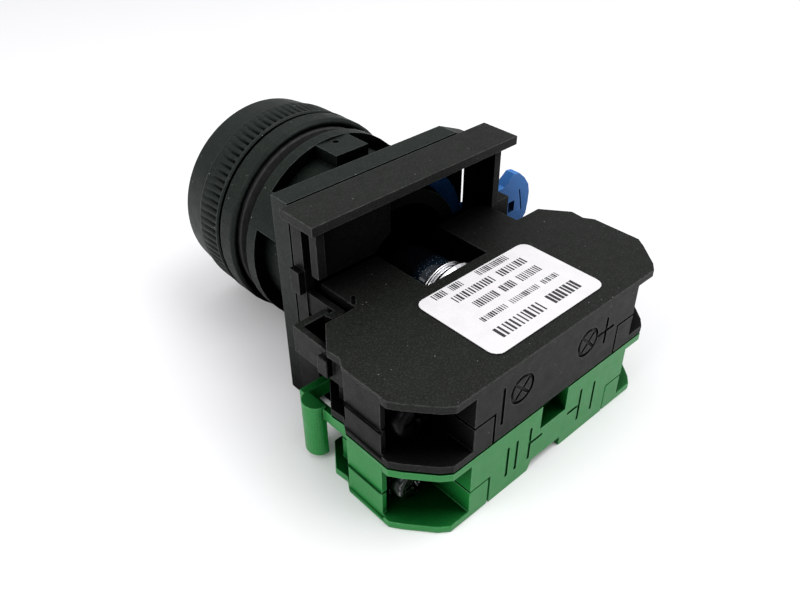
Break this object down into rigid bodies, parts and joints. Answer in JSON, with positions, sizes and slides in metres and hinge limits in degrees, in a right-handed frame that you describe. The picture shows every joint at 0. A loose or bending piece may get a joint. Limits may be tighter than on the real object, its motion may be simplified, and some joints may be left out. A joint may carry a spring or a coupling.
{
  "type": "illuminated push button operator with block holder",
  "caption": "Illuminated flush push button for a round panel hole, with collar, blue lock lever, block holder, lamp module and green contact block.",
  "frame": {"origin": "on the button axis, in the plane where the bezel's rear rim meets the panel", "axes": "+Y back through the panel along the button axis towards the terminals, +Z from the contact block's place towards the spare place, +X towards the side with the release latches"},
  "size_m": [0.051, 0.0587, 0.0298],
  "materials": {
    "black_plastic": "fine moulded grain",
    "green_plastic": "fine moulded grain",
    "blue_plastic": "fine moulded grain",
    "gasket_rubber": "matt",
    "lens": "clear polished lens",
    "diffuser": "frosted",
    "plunger_plastic": "satin moulded",
    "spring_steel": "drawn wire",
    "plated_steel": "bright zinc or nickel plate",
    "tinned_copper": "tinned, stamped",
    "lamp_glass": "clear glass over a dark lamp",
    "label_paper": "silver-grey film"
  },
  "bodies": {
    "frame": {"front_bezel": "black_plastic", "operator_body": "black_plastic", "panel_gasket": "gasket_rubber", "return_spring": "spring_steel", "mounting_collar": "black_plastic", "block_holder": "black_plastic", "lamp_module_cover": "black_plastic", "lamp_module_base": "black_plastic", "rating_label": "label_paper", "lamp_socket": "plated_steel", "lamp_base": "plated_steel", "lamp_tip": "tinned_copper", "lamp_bulb": "lamp_glass", "lamp_shell_strip": "tinned_copper", "lamp_centre_strip": "tinned_copper", "lamp_clamp_near": "plated_steel", "lamp_clamp_far": "plated_steel", "contact_block_cover": "green_plastic", "contact_block_base": "green_plastic", "fixed_contact_near": "tinned_copper", "fixed_contact_far": "tinned_copper", "contact_spring": "spring_steel", "bridge_spring": "spring_steel", "contact_clamp_near": "plated_steel", "contact_clamp_far": "plated_steel"},
    "button": {"button_lens": "lens", "lens_diffuser": "diffuser", "button_plunger": "black_plastic"},
    "lock_lever": {"lock_ring": "blue_plastic"},
    "contact_plunger_body": {"contact_plunger": "plunger_plastic"},
    "contact_bridge_body": {"contact_bridge": "tinned_copper"},
    "lamp_screw_near_body": {"lamp_screw_near": "plated_steel"},
    "lamp_screw_far_body": {"lamp_screw_far": "plated_steel"},
    "contact_screw_near_body": {"contact_screw_near": "plated_steel"},
    "contact_screw_far_body": {"contact_screw_far": "plated_steel"},
    "lamp_latch_body": {"lamp_module_latch": "black_plastic"},
    "contact_latch_body": {"contact_block_latch": "green_plastic"}
  },
  "joints": [
    {"name": "button_press", "type": "slide", "parent": "frame", "child": "button", "axis": [0, 1, 0], "range_m": [0, 0.0055], "stiffness_N_per_m": 400, "springref_m": -0.004, "deforming": ["return_spring", "contact_spring"]},
    {"name": "contact_plunger_slide", "type": "slide", "parent": "frame", "child": "contact_plunger_body", "axis": [0, 1, 0], "range_m": [0, 0.0055], "deforming": ["bridge_spring"]},
    {"name": "contact_bridge_slide", "type": "slide", "parent": "frame", "child": "contact_bridge_body", "axis": [0, 1, 0], "range_m": [0, 0.00275]},
    {"name": "lock_lever_turn", "type": "hinge", "parent": "frame", "child": "lock_lever", "pos_m": [0, 0.0153, 0], "axis": [0, 1, 0], "range_deg": [0, 20]},
    {"name": "lamp_screw_near_turn", "type": "hinge", "parent": "frame", "child": "lamp_screw_near_body", "pos_m": [0.0182, 0.0384, 0], "axis": [0, 1, 0], "continuous": true},
    {"name": "lamp_screw_far_turn", "type": "hinge", "parent": "frame", "child": "lamp_screw_far_body", "pos_m": [-0.0182, 0.0384, 0], "axis": [0, 1, 0], "continuous": true},
    {"name": "contact_screw_near_turn", "type": "hinge", "parent": "frame", "child": "contact_screw_near_body", "pos_m": [0.0182, 0.0384, -0.01], "axis": [0, 1, 0], "continuous": true},
    {"name": "contact_screw_far_turn", "type": "hinge", "parent": "frame", "child": "contact_screw_far_body", "pos_m": [-0.0182, 0.0384, -0.01], "axis": [0, 1, 0], "continuous": true},
    {"name": "lamp_latch_release", "type": "hinge", "parent": "frame", "child": "lamp_latch_body", "pos_m": [0.02015, 0.0316, 0], "axis": [0, 0, 1], "range_deg": [0, 8], "stiffness_Nm_per_rad": 0.3, "springref_deg": -2.86},
    {"name": "contact_latch_release", "type": "hinge", "parent": "frame", "child": "contact_latch_body", "pos_m": [0.02015, 0.0316, -0.01], "axis": [0, 0, 1], "range_deg": [0, 8], "stiffness_Nm_per_rad": 0.3, "springref_deg": -2.86}
  ],
  "couplings": [
    {"joint": "contact_plunger_slide", "follows": "button_press", "ratio": 1},
    {"joint": "contact_bridge_slide", "follows": "button_press", "ratio": 0.5}
  ]
}
